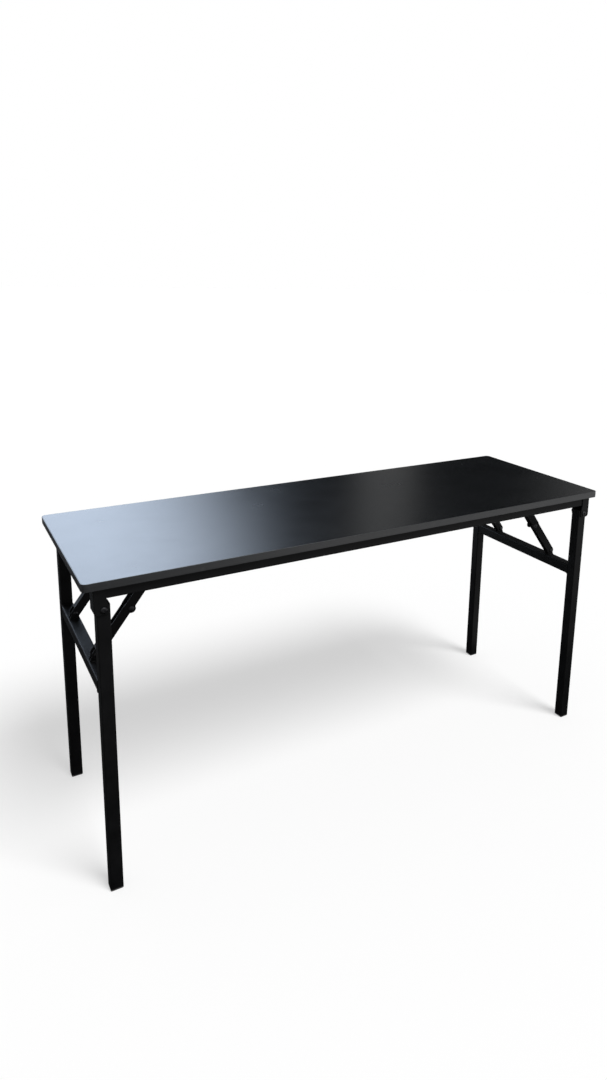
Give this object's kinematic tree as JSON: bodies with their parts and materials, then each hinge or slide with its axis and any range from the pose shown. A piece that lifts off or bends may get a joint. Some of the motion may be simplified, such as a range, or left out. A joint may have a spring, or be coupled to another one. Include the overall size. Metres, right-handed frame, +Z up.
{
  "type": "folding table",
  "caption": "Long narrow table with a flat laminated top on a steel tube frame; the leg frames fold flat under the top on hinged elbow braces.",
  "frame": {"origin": "on the floor under the middle of the top", "axes": "+X along the long side, +Y from the front to the back along the depth, +Z up"},
  "size_m": [1.5, 0.5, 0.75],
  "materials": {
    "black_laminate": "satin black laminate",
    "edge_band": "dark grey edge band",
    "particle_board": "particle board with a dark backing sheet",
    "black_powder_coat": "black powder coat",
    "dark_hardware": "dark zinc",
    "foot_rubber": "black moulded rubber",
    "bush_plastic": "black nylon"
  },
  "bodies": {
    "table": {"bracket_screws": "dark_hardware", "edge_band": "edge_band", "frame_screws": "dark_hardware", "front_rail": "black_powder_coat", "left_cross_rail": "black_powder_coat", "left_end_rail": "black_powder_coat", "left_front_hinge_bracket": "black_powder_coat", "left_front_top_bracket": "black_powder_coat", "left_hinge_bolts": "dark_hardware", "left_hinge_nuts": "dark_hardware", "left_rear_hinge_bracket": "black_powder_coat", "left_rear_top_bracket": "black_powder_coat", "left_top_pins": "dark_hardware", "rear_rail": "black_powder_coat", "right_cross_rail": "black_powder_coat", "right_end_rail": "black_powder_coat", "right_front_hinge_bracket": "black_powder_coat", "right_front_top_bracket": "black_powder_coat", "right_hinge_bolts": "dark_hardware", "right_hinge_nuts": "dark_hardware", "right_rear_hinge_bracket": "black_powder_coat", "right_rear_top_bracket": "black_powder_coat", "right_top_pins": "dark_hardware", "top_board": "particle_board", "top_laminate": "black_laminate"},
    "left_leg_frame": {"left_crossbar": "black_powder_coat", "left_foot_pins": "dark_hardware", "left_front_brace_lug": "black_powder_coat", "left_front_foot_cap": "foot_rubber", "left_front_leg": "black_powder_coat", "left_pivot_bushes": "bush_plastic", "left_rear_brace_lug": "black_powder_coat", "left_rear_foot_cap": "foot_rubber", "left_rear_leg": "black_powder_coat"},
    "left_front_lower_brace": {"left_front_lower_link": "black_powder_coat"},
    "left_rear_lower_brace": {"left_rear_lower_link": "black_powder_coat"},
    "left_front_upper_brace": {"left_front_elbow_studs": "dark_hardware", "left_front_upper_link": "black_powder_coat"},
    "left_rear_upper_brace": {"left_rear_elbow_studs": "dark_hardware", "left_rear_upper_link": "black_powder_coat"},
    "right_leg_frame": {"right_crossbar": "black_powder_coat", "right_foot_pins": "dark_hardware", "right_front_brace_lug": "black_powder_coat", "right_front_foot_cap": "foot_rubber", "right_front_leg": "black_powder_coat", "right_pivot_bushes": "bush_plastic", "right_rear_brace_lug": "black_powder_coat", "right_rear_foot_cap": "foot_rubber", "right_rear_leg": "black_powder_coat"},
    "right_front_lower_brace": {"right_front_lower_link": "black_powder_coat"},
    "right_rear_lower_brace": {"right_rear_lower_link": "black_powder_coat"},
    "right_front_upper_brace": {"right_front_elbow_studs": "dark_hardware", "right_front_upper_link": "black_powder_coat"},
    "right_rear_upper_brace": {"right_rear_elbow_studs": "dark_hardware", "right_rear_upper_link": "black_powder_coat"}
  },
  "joints": [
    {"name": "left_leg_fold", "type": "hinge", "parent": "table", "child": "left_leg_frame", "pos_m": [-0.706, 0, 0.6835], "axis": [0, -1, 0], "range_deg": [0, 90]},
    {"name": "left_front_lower_brace_turn", "type": "hinge", "parent": "left_leg_frame", "child": "left_front_lower_brace", "pos_m": [-0.703, 0, 0.527], "axis": [0, -1, 0], "range_deg": [0, 32.23]},
    {"name": "left_front_upper_brace_turn", "type": "hinge", "parent": "table", "child": "left_front_upper_brace", "pos_m": [-0.55954, 0, 0.716], "axis": [0, 1, 0], "range_deg": [0, 50.39]},
    {"name": "left_rear_lower_brace_turn", "type": "hinge", "parent": "left_leg_frame", "child": "left_rear_lower_brace", "pos_m": [-0.703, 0, 0.527], "axis": [0, -1, 0], "range_deg": [0, 32.23]},
    {"name": "left_rear_upper_brace_turn", "type": "hinge", "parent": "table", "child": "left_rear_upper_brace", "pos_m": [-0.55954, 0, 0.716], "axis": [0, 1, 0], "range_deg": [0, 50.39]},
    {"name": "right_leg_fold", "type": "hinge", "parent": "table", "child": "right_leg_frame", "pos_m": [0.706, 0, 0.6835], "axis": [0, 1, 0], "range_deg": [0, 90]},
    {"name": "right_front_lower_brace_turn", "type": "hinge", "parent": "right_leg_frame", "child": "right_front_lower_brace", "pos_m": [0.703, 0, 0.527], "axis": [0, 1, 0], "range_deg": [0, 32.23]},
    {"name": "right_front_upper_brace_turn", "type": "hinge", "parent": "table", "child": "right_front_upper_brace", "pos_m": [0.55954, 0, 0.716], "axis": [0, -1, 0], "range_deg": [0, 50.39]},
    {"name": "right_rear_lower_brace_turn", "type": "hinge", "parent": "right_leg_frame", "child": "right_rear_lower_brace", "pos_m": [0.703, 0, 0.527], "axis": [0, 1, 0], "range_deg": [0, 32.23]},
    {"name": "right_rear_upper_brace_turn", "type": "hinge", "parent": "table", "child": "right_rear_upper_brace", "pos_m": [0.55954, 0, 0.716], "axis": [0, -1, 0], "range_deg": [0, 50.39]}
  ],
  "couplings": [
    {"joint": "left_front_lower_brace_turn", "follows": "left_leg_fold", "ratio": 0.35802},
    {"joint": "left_front_upper_brace_turn", "follows": "left_leg_fold", "ratio": 0.55984},
    {"joint": "left_rear_lower_brace_turn", "follows": "left_leg_fold", "ratio": 0.35802},
    {"joint": "left_rear_upper_brace_turn", "follows": "left_leg_fold", "ratio": 0.55984},
    {"joint": "right_front_lower_brace_turn", "follows": "right_leg_fold", "ratio": 0.35802},
    {"joint": "right_front_upper_brace_turn", "follows": "right_leg_fold", "ratio": 0.55984},
    {"joint": "right_rear_lower_brace_turn", "follows": "right_leg_fold", "ratio": 0.35802},
    {"joint": "right_rear_upper_brace_turn", "follows": "right_leg_fold", "ratio": 0.55984}
  ]
}
